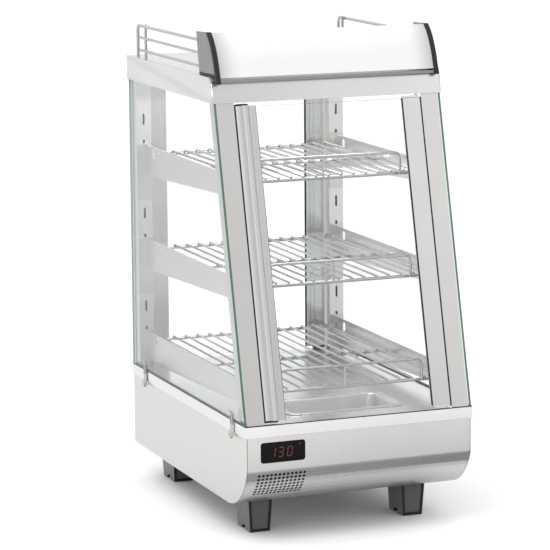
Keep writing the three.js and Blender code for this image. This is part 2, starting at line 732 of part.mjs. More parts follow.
// Canopy's front curve, as (behind the cap's front top edge, above the cap)
const CANOPY_CURVE = [
  [-14.8, -8.5],
  [-11.7, 0.6],
  [-9.8, 5],
  [-5.3, 18.5],
  [0.2, 31],
  [6.7, 42.5],
  [14.7, 53],
  [24.2, CANOPY_H],
];
const CANOPY_OUT = CAP_HALF - 6.1;
const CANOPY_END = 3; // end plate
const CANOPY_BAND = 6; // width of its thick front band
function canopy() {
  const at = ([y, h]) => [frontY(Z_CAP) + y, Z_CAP + h];
  const end = [
    at([-6, -8.5]),
    at([-6, 0.5]),
    at([58.2, 0.5]),
    at([70.2, CANOPY_H - 2]),
    ...CANOPY_CURVE.map(at).reverse(),
  ];
  const plate = alongX(end.reverse(), CANOPY_OUT - CANOPY_END, CANOPY_OUT);
  const rim = CANOPY_CURVE.map(([y, h]) => [y + 5, h - 1]).reverse();
  const band = alongX([...CANOPY_CURVE, ...rim].map(at).reverse(), CANOPY_OUT - CANOPY_BAND, CANOPY_OUT);
  const whole = join(plate, band);
  add("canopy_end_left", mirrored(whole), black);
  add("canopy_end_right", whole, black);
  const half = CANOPY_OUT - CANOPY_BAND - GAP;
  const face = CANOPY_CURVE.slice(1).map(([y, h]) => [y + 1, h - 1]);
  const back = face.map(([y, h]) => [y + 1.9, h - 0.6]).reverse();
  add("canopy_panel", alongX([...face, ...back].map(at).reverse(), -half, half), panel);
  const y = frontY(Z_CAP) - 8.4;
  add("canopy_strip", box(-half, half, y - 3.4, y, Z_CAP - 7.2, Z_CAP - 1.5), dull);
}

function rail(name, side) {
  const z = Z_CAP;
  const y1 = DEPTH - RAIL_BACK;
  const y0 = frontY(Z_CAP) + RAIL_FRONT;
  const foot0 = z + GAP;
  const loop = bentBar(
    [[RAIL_X, y0, foot0], [RAIL_X, y0, z + RAIL_H], [RAIL_X, y1, z + RAIL_H], [RAIL_X, y1, foot0]],
    RAIL_R, 7, 8, 60,
  );
  const bars = RAIL_BARS.map((h) => bar([RAIL_X, y0 + 11, z + h], [RAIL_X, y1 - 11, z + h], RAIL_R * 0.9, 8));
  const stakes = [y0 + 20, y1 - 25].map((y) => bar(
    [RAIL_X - 3.8, y, foot0],
    [RAIL_X - 3.8, y, z + RAIL_H + 3],
    RAIL_R * 0.88, 8,
  ));
  const whole = join(loop, ...bars, ...stakes);
  add(name, side > 0 ? whole : mirrored(whole), bright);
}

// ---- The whole case ------------------------------------------------------------------------------------
const tiltDown = DOOR_T * Math.sin(TILT);
const FRONT_LOW = (DOOR_SPACE + tiltDown) / Math.cos(TILT);
const FRONT_HIGH = (GLASS_H - DOOR_SPACE - HANDLE_PROUD * Math.sin(TILT)) / Math.cos(TILT) - 0.3;
const REAR_LOW = DOOR_SPACE;
const REAR_HIGH = GLASS_H - DOOR_SPACE;

const inside = basePanels();
frontPanel(inside);
rearPanel(inside);
deckTray([
  pinHole(onFront, FRONT_EDGE, -12, 8),
  pinHole(onRear, REAR_EDGE, -12, 8),
]);
feet();
heater();
posts();
pillars();
sideGlass();
for (const [end, y] of [["front", CLIP_AT[0]], ["rear", CLIP_AT[1]]]) {
  clip(`clip_${end}_left`, -1, y);
  clip(`clip_${end}_right`, 1, y);
}
["low", "mid", "top"].forEach((level, i) => {
  const arm = bracket(i);
  add(`bracket_${level}_left`, mirrored(arm), steel);
  add(`bracket_${level}_right`, arm, steel);
  add(`shelf_${level}`, shelf(i), bright);
});
waterPan();
door("front_door", onFront, FRONT_EDGE, FRONT_LOW, FRONT_HIGH);
door("rear_door", onRear, REAR_EDGE, REAR_LOW, REAR_HIGH);
cap();
ceiling([
  pinHole(onFront, FRONT_EDGE, FRONT_HIGH - 2, FRONT_HIGH + 14),
  pinHole(onRear, REAR_EDGE, REAR_HIGH - 2, REAR_HIGH + 14),
]);
canopy();
rail("rail_left", -1);
rail("rail_right", 1);

const root = new THREE.Group();
root.name = "hot_food_display_case";
for (const mesh of parts) root.add(mesh);

export default root;
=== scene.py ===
# %% [markdown]
# # A countertop hot food display case
# The metalwork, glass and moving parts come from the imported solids. Here each of them gets its rounded edges,
# its small details and its finish. Every length below is written in millimetres and turned to metres once.

# %% Load the frame
import json
import math

import bmesh
import bpy
from mathutils import Matrix, Vector
from mathutils.geometry import interpolate_bezier


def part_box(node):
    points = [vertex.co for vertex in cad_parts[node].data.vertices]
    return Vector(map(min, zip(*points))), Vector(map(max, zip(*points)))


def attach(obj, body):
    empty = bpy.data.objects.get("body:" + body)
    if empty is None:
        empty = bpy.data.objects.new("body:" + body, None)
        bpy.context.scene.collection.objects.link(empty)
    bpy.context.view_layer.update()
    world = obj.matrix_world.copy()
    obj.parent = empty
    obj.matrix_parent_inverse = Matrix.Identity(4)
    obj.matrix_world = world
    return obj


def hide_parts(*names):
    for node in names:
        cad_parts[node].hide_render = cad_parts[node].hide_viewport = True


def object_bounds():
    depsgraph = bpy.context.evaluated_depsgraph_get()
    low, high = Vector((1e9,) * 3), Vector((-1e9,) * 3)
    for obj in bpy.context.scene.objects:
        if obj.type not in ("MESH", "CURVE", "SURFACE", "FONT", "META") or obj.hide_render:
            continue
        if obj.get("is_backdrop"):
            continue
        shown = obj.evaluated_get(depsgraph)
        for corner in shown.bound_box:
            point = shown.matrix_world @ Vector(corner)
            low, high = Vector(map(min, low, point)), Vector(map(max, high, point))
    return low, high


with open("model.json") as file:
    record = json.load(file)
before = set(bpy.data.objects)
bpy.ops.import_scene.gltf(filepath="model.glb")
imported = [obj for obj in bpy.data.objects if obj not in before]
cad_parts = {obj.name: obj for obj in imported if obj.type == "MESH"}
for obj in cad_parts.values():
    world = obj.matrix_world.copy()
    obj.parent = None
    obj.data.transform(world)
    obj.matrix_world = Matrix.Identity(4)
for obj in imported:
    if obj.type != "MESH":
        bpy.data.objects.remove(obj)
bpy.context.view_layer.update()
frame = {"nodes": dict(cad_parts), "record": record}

# Sizes that several pieces share, in millimetres. The part's middle lies MIDDLE behind the deck's front edge.
MM = 0.001
MIDDLE = 246.8
DECK = 177.0
BASE_UNDER = 52.0
CAP_TOP = 656.0
FRONT_SET = 4.4
BACK_FACE = 489.4
LEAN_RUN = 0.2514
LEAN = math.atan(LEAN_RUN)
LEVELS = ("low", "mid", "top")
SIDES = ("left", "right")
SIGNED_SIDES = (("left", -1), ("right", 1))
ENDS = ("front", "rear")
DOORS = ("front_door", "rear_door")

bodies = frame["record"]["behaviour"]["bodies"]
body_of = {node: body for body, nodes in bodies.items() for node in nodes}

# %% [markdown]
# The camera stands in front of the case, a little to its left and a little above it, with a long lens, so the
# upright edges stay almost parallel. It is rolled a little, tipped down, and turned round the upright.

# %% Camera
CAMERA_AT = Vector((-1563.0, -3894.0, 1079.2)) * MM
turn = Matrix.Rotation(math.radians(-21.46), 4, "Z")
tip = Matrix.Rotation(math.radians(90 - 9.96), 4, "X")
roll = Matrix.Rotation(math.radians(-0.42), 4, "Z")
camera = bpy.data.objects.new("camera", bpy.data.cameras.new("camera"))
camera.data.sensor_width = 36
camera.data.lens = 187.46
camera.data.clip_end = 100
camera.matrix_world = Matrix.Translation(CAMERA_AT) @ turn @ tip @ roll
bpy.context.scene.collection.objects.link(camera)
bpy.context.scene.camera = camera
print("camera", tuple(round(v, 3) for v in camera.location))

# %% [markdown]
# A catering catalogue shows steel against white. The world is an even white that the steel can mirror, a large
# soft lamp from the left gives the shadow its direction, and dark cards outside the view give the metal its
# grey bands: polished steel has no colour of its own, it shows what stands round it.

# %% Floor and lights
def srgb(text, alpha=1.0):
    """A hex sRGB colour as linear numbers."""
    parts = [int(text[i:i + 2], 16) / 255 for i in (1, 3, 5)]
    linear = [c / 12.92 if c <= 0.04045 else ((c + 0.055) / 1.055) ** 2.4 for c in parts]
    return (*linear, alpha)


def add(tree, kind, inputs=None, **settings):
    """A new node, its settings, and its inputs fed by values or by other nodes' outputs."""
    node = tree.nodes.new(kind)
    for key, value in settings.items():
        setattr(node, key, value)
    for key, value in (inputs or {}).items():
        if isinstance(value, bpy.types.NodeSocket):
            tree.links.new(value, node.inputs[key])
        else:
            node.inputs[key].default_value = value
    return node


def new_material(name):
    """A material with an empty tree and its output node."""
    material = bpy.data.materials.new(name)
    material.use_nodes = True
    material.node_tree.nodes.clear()
    return material, material.node_tree


world = bpy.data.worlds.new("studio")
bpy.context.scene.world = world
world.use_nodes = True
tree = world.node_tree
tree.nodes.clear()
# Mirrors see a dimmer room on the side the case opens to, while matt surfaces get a little more light.
OPEN_SIDE = (0.375, -0.927, 0.0)
OPEN_DIM = 0.66
MATT_LIGHT = 1.15
way = add(tree, "ShaderNodeTexCoord")
facing = add(tree, "ShaderNodeVectorMath", {0: way.outputs["Generated"], 1: OPEN_SIDE},
             operation="DOT_PRODUCT")
dim = add(tree, "ShaderNodeMapRange",
          {"Value": facing.outputs["Value"], "From Min": 0.2, "From Max": 0.97,
           "To Min": 1.0, "To Max": OPEN_DIM})
ray = add(tree, "ShaderNodeLightPath")
lit = add(tree, "ShaderNodeMix",
          {0: ray.outputs["Is Diffuse Ray"], 2: dim.outputs[0], 3: MATT_LIGHT})
seen = add(tree, "ShaderNodeMix", {0: ray.outputs["Is Camera Ray"], 2: lit.outputs[0], 3: 1.0})
sky = add(tree, "ShaderNodeBackground", {"Color": (1, 1, 1, 1), "Strength": seen.outputs[0]})
add(tree, "ShaderNodeOutputWorld", {"Surface": sky.outputs[0]})
bpy.context.scene.view_settings.view_transform = "Standard"


def area_lamp(name, at, aim, size, watts):
    """A soft rectangular lamp at a place, aimed at a point."""
    data = bpy.data.lights.new(name, "AREA")
    data.shape = "RECTANGLE"
    data.size, data.size_y = size
    data.energy = watts
    lamp = bpy.data.objects.new(name, data)
    lamp.location = at
    lamp.rotation_euler = (Vector(aim) - Vector(at)).to_track_quat("-Z", "Y").to_euler()
    bpy.context.scene.collection.objects.link(lamp)


area_lamp("key", (-1.6, -1.2, 2.6), (0, 0, 0.3), (1.4, 1.4), 26)
area_lamp("case_lamp", (0, 0.02, 0.605), (0, 0, 0.2), (0.26, 0.2), 0.9)
area_lamp("fill", (1.8, -2.4, 1.6), (0, 0, 0.35), (1.6, 1.6), 4)

# The sheet shows bright to the camera, but throws little light back, so the shadow under the case stays deep.
# A first mirror ray sees it in between.
THROWN = 0.36
CAMERA_EXTRA = 0.64
MIRROR_EXTRA = 0.40
paper, tree = new_material("matt white paper")
grain = add(tree, "ShaderNodeTexNoise", {"Scale": 40.0, "Detail": 2.0})
ray = add(tree, "ShaderNodeLightPath")
shown = add(tree, "ShaderNodeMath", {0: ray.outputs["Is Camera Ray"], 1: CAMERA_EXTRA, 2: THROWN},
            operation="MULTIPLY_ADD")
direct = add(tree, "ShaderNodeMath", {0: ray.outputs["Diffuse Depth"], 1: 0.5},
             operation="LESS_THAN")
mirrored = add(tree, "ShaderNodeMath", {0: ray.outputs["Is Glossy Ray"], 1: direct.outputs[0]},
               operation="MULTIPLY")
gloss = add(tree, "ShaderNodeMath", {0: mirrored.outputs[0], 1: MIRROR_EXTRA, 2: shown.outputs[0]},
            operation="MULTIPLY_ADD")
tone = add(tree, "ShaderNodeMath", {0: grain.outputs["Fac"], 1: 0.02, 2: gloss.outputs[0]},
           operation="MULTIPLY_ADD")
sheet = add(tree, "ShaderNodeBsdfDiffuse", {"Color": tone.outputs[0]})
add(tree, "ShaderNodeOutputMaterial", {"Surface": sheet.outputs[0]})

# The cards glow by place, in metres: dark close to the case, brighter away from it and to the left.
card_grey, tree = new_material("matt grey card")
spot = add(tree, "ShaderNodeTexCoord")
split = add(tree, "ShaderNodeSeparateXYZ", {0: spot.outputs["Object"]})
fade = add(tree, "ShaderNodeMapRange",
           {"Value": split.outputs["Y"], "From Min": -0.95, "From Max": -0.3,
            "To Min": 1.14, "To Max": 0.28},
           interpolation_type="SMOOTHSTEP")
left = add(tree, "ShaderNodeMapRange",
           {"Value": split.outputs["X"], "From Min": -0.2, "From Max": 0.2,
            "To Min": 1.3, "To Max": 1.0})
both = add(tree, "ShaderNodeMath", {0: fade.outputs[0], 1: left.outputs[0]}, operation="MULTIPLY")
far = add(tree, "ShaderNodeMapRange",
          {"Value": split.outputs["Y"], "From Min": -2.4, "From Max": -1.1,
           "To Min": 0.66, "To Max": 0.96})
shade = add(tree, "ShaderNodeMath", {0: both.outputs[0], 1: far.outputs[0]}, operation="MULTIPLY")
glow = add(tree, "ShaderNodeEmission", {"Color": (1, 1, 1, 1), "Strength": shade.outputs[0]})
add(tree, "ShaderNodeOutputMaterial", {"Surface": glow.outputs[0]})


def flat_card(name, corners, material):
    """A flat sheet of the studio, from its corners in metres."""
    bm = bmesh.new()
    bm.faces.new([bm.verts.new(corner) for corner in corners])
    mesh = bpy.data.meshes.new(name)
    bm.to_mesh(mesh)
    bm.free()
    mesh.materials.append(material)
    card = bpy.data.objects.new(name, mesh)
    bpy.context.scene.collection.objects.link(card)
    card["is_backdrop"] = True
    return card


def flag(name, corners):
    """A dark card that only mirrors show."""
    card = flat_card(name, corners, card_grey)
    card.visible_camera = card.visible_diffuse = card.visible_shadow = False
    card.visible_transmission = False


flat_card("floor", [(-14, -14, 0), (14, -14, 0), (14, 14, 0), (-14, 14, 0)], paper)
flag("floor_flag", [(-1.5, -8, 0.002), (5, -8, 0.002), (1.6, -0.26, 0.002), (-0.7, -0.26, 0.002)])
flag("right_flag", [(1.5, -2.1, 0), (2.1, -1.5, 0), (2.1, -1.5, 2.4), (1.5, -2.1, 2.4)])
flag("left_flag", [(-2.6, -0.9, 0), (-2.6, -0.5, 0), (-2.6, -0.5, 2.4), (-2.6, -0.9, 2.4)])
print("floor, cards and lamps ready")

# %% [markdown]
# ## Metals
# The panels are austenitic stainless sheet, ground with a fine belt. The grinding leaves long shallow scratches
# along the sheet, so light spreads across them more than along them. Real scratches are about 0.05 mm wide,
# too fine to see from here, so they are drawn about 1 mm wide. Handling leaves faint duller patches.

# %% Ground stainless sheet
SCRATCH_LENGTH = 120  # times its width


def ground_metal(name, colour, roughness, along, scratch=1.0, patch=90.0, depth=0.003):
    """Metal with scratches along one axis (0, 1, 2): scratch and patch are sizes in millimetres."""
    material, tree = new_material(name)
    place = add(tree, "ShaderNodeTexCoord")
    across = 1 / (scratch * MM)
    scale = [across, across, across]
    scale[along] = across / SCRATCH_LENGTH
    lined = add(tree, "ShaderNodeMapping", {"Vector": place.outputs["Object"], "Scale": scale})
    lines = add(tree, "ShaderNodeTexNoise", {"Vector": lined.outputs[0], "Scale": 1.0, "Detail": 3.0})
    smudge = add(tree, "ShaderNodeTexNoise",
                 {"Vector": place.outputs["Object"], "Scale": 1 / (patch * MM), "Detail": 2.0})
    both = add(tree, "ShaderNodeMath", {0: lines.outputs["Fac"], 1: smudge.outputs["Fac"]}, operation="ADD")
    rough = add(tree, "ShaderNodeMapRange",
                {"Value": both.outputs[0], "From Min": 0.6, "From Max": 1.4,
                 "To Min": roughness - 0.03, "To Max": roughness + 0.05})
    light, dark = colour
    tint = add(tree, "ShaderNodeMix", {0: lines.outputs["Fac"], 6: srgb(dark), 7: srgb(light)},
               data_type="RGBA")
    bump = add(tree, "ShaderNodeBump",
               {"Height": lines.outputs["Fac"], "Strength": 0.1, "Distance": depth * MM})
    shader = add(tree, "ShaderNodeBsdfPrincipled",
                 {"Base Color": tint.outputs[2], "Metallic": 1.0, "Roughness": rough.outputs[0],
                  "Normal": bump.outputs[0]})
    add(tree, "ShaderNodeOutputMaterial", {"Surface": shader.outputs[0]})
    return material


stainless_x = ground_metal("ground stainless sheet, side to side", ("#e6e5e4", "#dcdbda"), 0.27, 0)
stainless_y = ground_metal("ground stainless sheet, front to back", ("#e6e5e3", "#dbdad8"), 0.30, 1)
stainless_z = ground_metal("ground stainless sheet, upright", ("#e1e0de", "#d6d5d3"), 0.30, 2)
# Painted light: the rear posts and the deck are brighter copies of the same sheet, standing in for light inside
# the case.
lit_stainless_post = ground_metal("ground stainless post, painted brighter", ("#f3f2f0", "#e9e8e6"), 0.30, 2)
lit_stainless_deck = ground_metal("ground stainless deck, painted brighter", ("#f4f3f2", "#ecebea"), 0.24, 0)
satin_alloy = ground_metal("satin anodised aluminium", ("#dadada", "#d6d6d6"), 0.24, 2,
                           scratch=2, depth=0.001)
dull_strip = ground_metal("dull stainless strip", ("#a9a8a6", "#989795"), 0.42, 0)
bright_wire = ground_metal("polished stainless wire", ("#cbcac9", "#b6b5b4"), 0.12, 1,
                           scratch=3, patch=30)
# Painted light: the pan's steel is painted brighter, against the shade its hollow gets under the shelves.
lit_pan_steel = ground_metal("deep-drawn stainless, painted brighter", ("#f8f7f6", "#f0efee"), 0.24, 0,
                         scratch=4, patch=50, depth=0.002)
hot_sheath = ground_metal("heat-darkened sheath", ("#5d5853", "#3d3936"), 0.45, 0,
                          scratch=2, patch=20)
print("metals ready")

# %% [markdown]
# ## Plastics
# The feet and end caps are ABS, moulded in a spark-eroded tool, so their skin has a fine pebble about 0.3 mm
# across. It is drawn 0.8 mm across. The display window is smoked acrylic, smooth and deep.

# %% Plastics
def moulded(name, colour, roughness, pebble=0.8, depth=0.05, glow=0.0, shine=0.5):
    """Moulded plastic with a pebbled skin; pebble is its size in millimetres."""
    material, tree = new_material(name)
    place = add(tree, "ShaderNodeTexCoord")
    skin = add(tree, "ShaderNodeTexNoise",
               {"Vector": place.outputs["Object"], "Scale": 1 / (pebble * MM), "Detail": 2.0})
    cloud = add(tree, "ShaderNodeTexNoise",
                {"Vector": place.outputs["Object"], "Scale": 1 / (25 * MM), "Detail": 2.0})
    light, dark = colour
    tint = add(tree, "ShaderNodeMix", {0: cloud.outputs["Fac"], 6: srgb(dark), 7: srgb(light)},
               data_type="RGBA")
    rough = add(tree, "ShaderNodeMapRange",
                {"Value": skin.outputs["Fac"], "From Min": 0.3, "From Max": 0.7,
                 "To Min": roughness - 0.05, "To Max": roughness + 0.07})
    bump = add(tree, "ShaderNodeBump",
               {"Height": skin.outputs["Fac"], "Strength": 0.3, "Distance": depth * MM})
    shader = add(tree, "ShaderNodeBsdfPrincipled",
                 {"Base Color": tint.outputs[2], "Roughness": rough.outputs[0], "IOR": 1.54,
                  "Specular IOR Level": shine, "Normal": bump.outputs[0],
                  "Emission Color": srgb(light), "Emission Strength": glow})
    add(tree, "ShaderNodeOutputMaterial", {"Surface": shader.outputs[0]})
    return material


black_abs = moulded("black pebbled ABS", ("#252425", "#1c1b1c"), 0.5, shine=0.35)
grey_abs = moulded("grey faced ABS", ("#8e8e8c", "#838381"), 0.38)
foot_face = moulded("worn ABS face", ("#666467", "#555356"), 0.45)
smoked_acrylic = moulded("smoked acrylic", ("#141312", "#0e0d0d"), 0.08,
                         pebble=3, depth=0.005, shine=0.1)
dark_rubber = moulded("nitrile rubber", ("#242324", "#1a191a"), 0.7)
lamp_opal = moulded("opal polycarbonate", ("#fffdf8", "#f7f4ee"), 0.3, pebble=2, glow=1.2)
# The feet's flanks are painted paler: painted light on their sides.
lit_foot_flank = moulded("ABS flank, painted lit", ("#858384", "#757374"), 0.32)
print("plastics ready")

# %% [markdown]
# The canopy's opal panel has painted shade near its two end plates: its white base colour turns slowly to light
# grey there.

# %% Opal acrylic of the canopy
white_acrylic, tree = new_material("opal acrylic sheet")
place = add(tree, "ShaderNodeTexCoord")
split = add(tree, "ShaderNodeSeparateXYZ", {0: place.outputs["Object"]})
# Painted shade: the base colour greys towards both ends of the panel.
far = add(tree, "ShaderNodeMath", {0: split.outputs["X"]}, operation="ABSOLUTE")
shade = add(tree, "ShaderNodeMapRange", {"Value": far.outputs[0], "From Min": 0.13, "From Max": 0.172},
            interpolation_type="SMOOTHSTEP")
cloud = add(tree, "ShaderNodeTexNoise", {"Vector": place.outputs["Object"], "Scale": 1 / (40 * MM)})
tint = add(tree, "ShaderNodeMix", {0: cloud.outputs["Fac"], 6: srgb("#e4e4e4"), 7: srgb("#e9e9e9")},
           data_type="RGBA")
ends = add(tree, "ShaderNodeMix", {0: shade.outputs[0], 6: tint.outputs[2], 7: srgb("#bababa")},
           data_type="RGBA")
shader = add(tree, "ShaderNodeBsdfPrincipled",
             {"Base Color": ends.outputs[2], "Roughness": 0.15, "IOR": 1.49, "Coat Weight": 0.3})
add(tree, "ShaderNodeOutputMaterial", {"Surface": shader.outputs[0]})
print("opal sheet ready")

# %% [markdown]
# ## Glass
# Float glass is clear through its faces and green through its edge, where one looks along centimetres of it.
# A thin flat pane bends nothing visibly, so its faces are a see-through shader with a Fresnel mirror on top,
# which stays clean and lets the lamps reach the shelves. The edges get their own green shader, with a painted
# highlight at the back.
# Real float glass has an IOR of 1.52. A lower one is used on the faces for the look alone: in a room as white as
# this, the real value mirrors more white than a clean pane is seen to.

# %% Float glass
GLASS_IOR = 1.26
EDGE_IOR = 1.52


def float_glass(name, thin_axis, edge_tints=("#476357", "#628070")):
    """Clear pane whose faces look along thin_axis; every other face is a polished green edge.

    The light isn't bent here, so a back face takes the same mirror share as a front one: its IOR is inverted.
    """
    material, tree = new_material(name)
    place = add(tree, "ShaderNodeTexCoord")
    facing = add(tree, "ShaderNodeVectorMath",
                 {0: place.outputs["Normal"], 1: thin_axis}, operation="DOT_PRODUCT")
    size = add(tree, "ShaderNodeMath", {0: facing.outputs["Value"]}, operation="ABSOLUTE")
    edge = add(tree, "ShaderNodeMath", {0: size.outputs[0], 1: 0.7}, operation="LESS_THAN")
    haze = add(tree, "ShaderNodeTexNoise",
               {"Vector": place.outputs["Object"], "Scale": 1 / (60 * MM), "Detail": 2.0})
    rough = add(tree, "ShaderNodeMapRange",
                {"Value": haze.outputs["Fac"], "To Min": 0.01, "To Max": 0.05})
    through = add(tree, "ShaderNodeBsdfTransparent", {"Color": srgb("#feffff")})
    mirror = add(tree, "ShaderNodeBsdfGlossy", {"Roughness": rough.outputs[0]})
    side = add(tree, "ShaderNodeNewGeometry")
    bend = add(tree, "ShaderNodeMapRange",
               {"Value": side.outputs["Backfacing"], "To Min": GLASS_IOR, "To Max": 1 / GLASS_IOR})
    fresnel = add(tree, "ShaderNodeFresnel", {"IOR": bend.outputs[0]})
    pane = add(tree, "ShaderNodeMixShader",
               {0: fresnel.outputs[0], 1: through.outputs[0], 2: mirror.outputs[0]})
    dark, light = edge_tints
    green = add(tree, "ShaderNodeMix", {0: haze.outputs["Fac"], 6: srgb(dark), 7: srgb(light)},
                data_type="RGBA")
    split = add(tree, "ShaderNodeSeparateXYZ", {0: place.outputs["Object"]})
    # Painted highlight: towards the back the edges turn a lighter grey-green.
    back = add(tree, "ShaderNodeMapRange",
               {"Value": split.outputs["Y"], "From Min": 0.1, "From Max": 0.24})
    painted_back_highlight = add(tree, "ShaderNodeMix", {0: back.outputs[0], 6: green.outputs[2], 7: srgb("#a3b3ac")},
               data_type="RGBA")
    ground = add(tree, "ShaderNodeBsdfPrincipled",
                 {"Base Color": painted_back_highlight.outputs[2], "Roughness": 0.2, "IOR": EDGE_IOR})
    whole = add(tree, "ShaderNodeMixShader",
                {0: edge.outputs[0], 1: pane.outputs[0], 2: ground.outputs[0]})
    add(tree, "ShaderNodeOutputMaterial", {"Surface": whole.outputs[0]})
    return material


DEEP_GREEN = ("#22382f", "#33493f")
side_pane = float_glass("float glass, side", (1, 0, 0))
leaning = (0, math.cos(LEAN), -math.sin(LEAN))
front_pane = float_glass("float glass, leaning door", leaning, DEEP_GREEN)
rear_pane = float_glass("float glass, rear door", (0, 1, 0), DEEP_GREEN)
print("glass ready")

# %% [markdown]
# ## Softened copies of the solids
# The solids have knife-sharp edges. Real sheet and plastic edges are a little round, and that roundness is what
# catches the light. So each solid is copied, its loose triangles merged into flat faces, its sharp edges
# bevelled, and its gentle bends shaded smooth.

# %% Helpers that finish a piece
def piece(name, mesh, material, like, keeps=False, smooth=30):
    """Links a finished mesh as a piece that rides with a solid, and hides that solid unless keeps is set."""
    mesh.materials.clear()
    mesh.materials.append(material)
    mesh.shade_smooth()
    mesh.set_sharp_from_angle(angle=math.radians(smooth))
    thing = bpy.data.objects.new(name, mesh)
    bpy.context.scene.collection.objects.link(thing)
    even = thing.modifiers.new("flat faces stay flat", "WEIGHTED_NORMAL")
    even.keep_sharp = True
    even.weight = 100
    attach(thing, body_of[like])
    if not keeps:
        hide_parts(like)
    return thing


def mesh_from(bm, name):
    """The bmesh as a mesh, in metres, with its faces outwards."""
    bmesh.ops.recalc_face_normals(bm, faces=bm.faces)
    mesh = bpy.data.meshes.new(name)
    bm.to_mesh(mesh)
    bm.free()
    return mesh


def sharp_edges(bm, least=25, shortest=0):
    """Edges where the surface turns by more than least degrees, longer than shortest millimetres."""
    turn = math.radians(least)
    return [e for e in bm.edges if len(e.link_faces) == 2 and e.calc_face_angle(0) > turn
            and e.calc_length() > shortest * MM]


def soften(bm, width, segments=2, least=25, shortest=0):
    """Rounds every sharp edge by width millimetres."""
    bmesh.ops.bevel(bm, geom=sharp_edges(bm, least, shortest), offset=width * MM,
                    offset_type="OFFSET", affect="EDGES", segments=segments, profile=0.5,
                    material=-1, clamp_overlap=True)


def merged(node):
    """A solid's loose triangles as one skin with flat faces."""
    bm = bmesh.new()
    bm.from_mesh(frame["nodes"][node].data)
    bmesh.ops.remove_doubles(bm, verts=bm.verts, dist=0.002 * MM)
    bmesh.ops.dissolve_limit(bm, angle_limit=math.radians(1), verts=bm.verts, edges=bm.edges)
    return bm


def softened(node, material, width=0.35, segments=2, shortest=0):
    """A copy of a solid with merged faces and rounded edges, in its place."""
    bm = merged(node)
    soften(bm, width, segments, shortest=shortest)
    return piece(node + "_made", mesh_from(bm, node), material, node)


print("helpers ready")

# %% [markdown]
# ## Sheet metal, panes and housings
# Each solid gets its finish here. On the front sheet an edge shorter than VENT_EDGE is left sharp, so the rims of
# the many small vent holes are not rounded.

# %% Sheet metal and glass
VENT_EDGE = 2.2
CAP_BEND = 3.0
STRIP_TRIM = 1.6  # the visible strip is this much lower than its solid
box_of_strip = [Vector(corner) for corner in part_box("canopy_strip")]
softened("base_front", stainless_x, shortest=VENT_EDGE)
softened("deck_tray", lit_stainless_deck)
for node in ("base_bottom", "base_rear", "ceiling_panel"):
    softened(node, stainless_x)
# The cap's outer corners are folded round a tool, so their upright edges get a wider bend first.
bm = merged("top_cap")
reach = max(vert.co.x for vert in bm.verts) - 0.5 * MM
corners = [e for e in sharp_edges(bm, 45) if min(abs(v.co.x) for v in e.verts) > reach
           and abs(e.verts[0].co.z - e.verts[1].co.z) > 20 * MM]
bmesh.ops.bevel(bm, geom=corners, offset=CAP_BEND * MM, offset_type="OFFSET", affect="EDGES",
                segments=5, profile=0.5, material=-1)
soften(bm, 0.35)
piece("top_cap_made", mesh_from(bm, "top_cap"), stainless_x, "top_cap", smooth=35)
print("cap corners:", len(corners))
for side in SIDES:
    softened(f"base_side_{side}", stainless_y, 0.4)
    softened(f"rear_post_{side}", lit_stainless_post)
    softened(f"front_pillar_{side}", stainless_z)
    softened(f"side_glass_{side}", side_pane, 0.3, 1)
    for level in LEVELS:
        softened(f"bracket_{level}_{side}", stainless_y, 0.3)
strip = softened("canopy_strip", dull_strip, 0.4)
strip_middle = sum(corner.z for corner in box_of_strip) / 2
for vert in strip.data.vertices:
    if vert.co.z > strip_middle:
        vert.co.z -= STRIP_TRIM * MM
softened("canopy_panel", white_acrylic, 0.4)
softened("lamp_lens", lamp_opal, 1.2, 3)
softened("controller_box", black_abs, 0.5)
softened("display_window", smoked_acrylic, 0.5)
softened("power_inlet", black_abs, 0.5)
softened("power_switch_body", black_abs, 0.5)
softened("power_switch_rocker", smoked_acrylic, 0.4)

# %% [markdown]
# ## Bent and welded wire
# Shelves, rails and the heating element are round stock, bent and spot-welded. Each is one curve with a round
# bevel: a run of points for each rod, and arcs where it bends. A curve keeps the wire truly round.

# %% Wire work
def bent(points, radius, steps=6):
    """Points of a run, in millimetres, with an arc of about radius at each inner corner."""
    path = [Vector(p) for p in points]
    run = [path[0]]
    for before, corner, after in zip(path, path[1:], path[2:]):
        start = corner + (before - corner).normalized() * radius
        end = corner + (after - corner).normalized() * radius
        for k in range(steps + 1):
            t = k / steps
            run.append(start * (1 - t) ** 2 + corner * 2 * t * (1 - t) + end * t ** 2)
    return run + [path[-1]]


def wire_piece(name, like, runs, material, keeps=False):
    """Round bars: runs is a list of (points in millimetres, radius in millimetres)."""
    data = bpy.data.curves.new(name, "CURVE")
    data.dimensions = "3D"
    data.bevel_depth = MM
    data.bevel_resolution = 3
    data.use_fill_caps = True
    for points, radius in runs:
        spline = data.splines.new("POLY")
        spline.points.add(len(points) - 1)
        for knot, place in zip(spline.points, points):
            knot.co = (*(Vector(place) * MM), 1)
            knot.radius = radius
    data.materials.append(material)
    thing = bpy.data.objects.new(name, data)
    bpy.context.scene.collection.objects.link(thing)
    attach(thing, body_of[like])
    if not keeps:
        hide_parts(like)
    return thing


def box_mm(node):
    """A node's lowest and highest corners in millimetres."""
    low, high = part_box(node)
    return Vector(low) / MM, Vector(high) / MM


